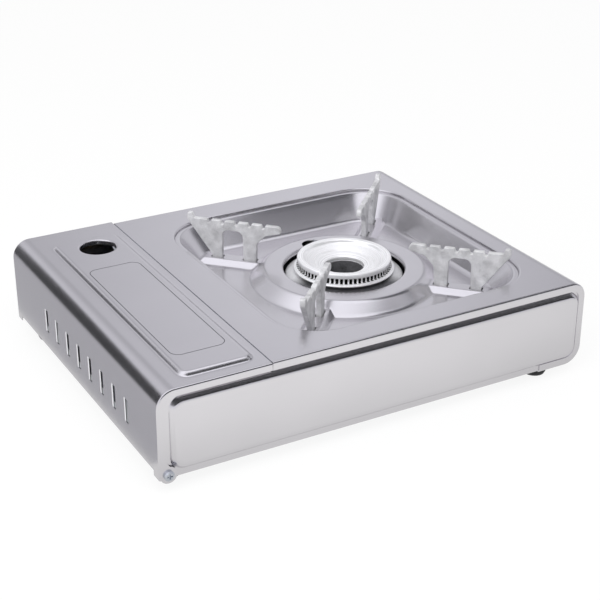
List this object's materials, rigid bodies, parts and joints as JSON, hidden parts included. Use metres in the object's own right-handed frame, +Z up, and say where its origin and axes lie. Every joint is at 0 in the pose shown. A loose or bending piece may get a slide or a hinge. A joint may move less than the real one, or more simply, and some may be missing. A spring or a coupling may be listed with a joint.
{
  "type": "butane cassette stove",
  "caption": "Table-top gas stove in sheet steel with a sunk burner tray, toothed pan supports, a hinged cartridge cover, a control knob and a cartridge lock lever.",
  "frame": {"origin": "on the table, under the middle of the stove's outside box, knob included", "axes": "+Z up; X is the width, +X on the cartridge side; -Y is the front, with the knob and the lock lever"},
  "size_m": [0.34, 0.2936, 0.092],
  "materials": {
    "body_sheet": "satin stainless sheet",
    "tray_sheet": "polished stainless sheet",
    "zinc_sheet": "zinc-plated sheet",
    "foot_rubber": "moulded black rubber",
    "seal_rubber": "black nitrile rubber",
    "fasteners": "zinc-plated steel",
    "support_metal": "grit-blasted casting",
    "burner_casting": "machined die casting",
    "steel_tube": "drawn steel tube",
    "gas_castings": "zinc die casting",
    "brass_parts": "turned brass",
    "black_plastic": "moulded black plastic",
    "steel_parts": "pressed and turned steel",
    "igniter_plastic": "moulded plastic",
    "lead_insulation": "silicone insulation",
    "electrode_ceramic": "glazed alumina"
  },
  "bodies": {
    "root": {"main_shell": "body_sheet", "rear_panel": "body_sheet", "front_panel": "body_sheet", "base_pan": "zinc_sheet", "partition": "zinc_sheet", "foot_front_left": "foot_rubber", "foot_rear_left": "foot_rubber", "foot_front_right": "foot_rubber", "foot_rear_right": "foot_rubber", "foot_screws": "fasteners", "hinge_screws": "fasteners", "hinge_nuts": "fasteners", "hinge_spacers": "fasteners", "burner_head": "burner_casting", "burner_body": "burner_casting", "mixing_tube": "steel_tube", "air_collar": "steel_tube", "tube_clip": "zinc_sheet", "burner_bracket": "zinc_sheet", "burner_screws": "fasteners", "regulator_body": "gas_castings", "regulator_cap": "gas_castings", "regulator_screws": "fasteners", "regulator_bracket": "zinc_sheet", "cartridge_seat": "brass_parts", "seat_seal": "seal_rubber", "inlet_pin": "brass_parts", "valve_body": "gas_castings", "panel_bush": "black_plastic", "gas_pipe": "brass_parts", "jet_holder": "brass_parts", "jet_nozzle": "brass_parts", "igniter_body": "igniter_plastic", "ignition_lead": "lead_insulation", "electrode_insulator": "electrode_ceramic", "electrode_rod": "steel_parts", "electrode_bracket": "zinc_sheet", "lever_pivot": "fasteners", "rod_guides": "zinc_sheet", "pusher_spring": "steel_parts"},
    "lid": {"cartridge_lid": "body_sheet"},
    "tray": {"drip_tray": "tray_sheet", "pot_support_1": "support_metal", "pot_support_2": "support_metal", "pot_support_3": "support_metal", "pot_support_4": "support_metal"},
    "knob": {"control_knob": "black_plastic", "valve_stem": "steel_parts"},
    "plunger": {"igniter_plunger": "steel_tube"},
    "lever": {"lock_lever": "steel_parts", "lever_grip": "black_plastic"},
    "pusher": {"pusher_rod": "steel_parts", "pusher_plate": "steel_parts"}
  },
  "joints": [
    {"name": "lid_hinge", "type": "hinge", "parent": "root", "child": "lid", "pos_m": [0.1635, 0, 0.0134], "axis": [0, 1, 0], "range_deg": [0, 90]},
    {"name": "tray_lift", "type": "slide", "parent": "root", "child": "tray", "axis": [0, 0, 1], "range_m": [0, 0.06]},
    {"name": "knob_turn", "type": "hinge", "parent": "root", "child": "knob", "pos_m": [0.123, -0.12095, 0.04], "axis": [0, -1, 0], "range_deg": [0, 120]},
    {"name": "plunger_slide", "type": "slide", "parent": "root", "child": "plunger", "axis": [0, 0, -1], "range_m": [0, 0.004]},
    {"name": "lever_turn", "type": "hinge", "parent": "root", "child": "lever", "pos_m": [0.0864, -0.10695, 0.04], "axis": [1, 0, 0], "range_deg": [0, 36]},
    {"name": "pusher_slide", "type": "slide", "parent": "root", "child": "pusher", "axis": [0, -1, 0], "range_m": [0, 0.00927], "deforming": ["pusher_spring"]}
  ],
  "couplings": [
    {"joint": "plunger_slide", "follows": "knob_turn", "m_per_rad": 0.0019097},
    {"joint": "lever_turn", "follows": "pusher_slide", "rad_per_m": 67.773}
  ]
}
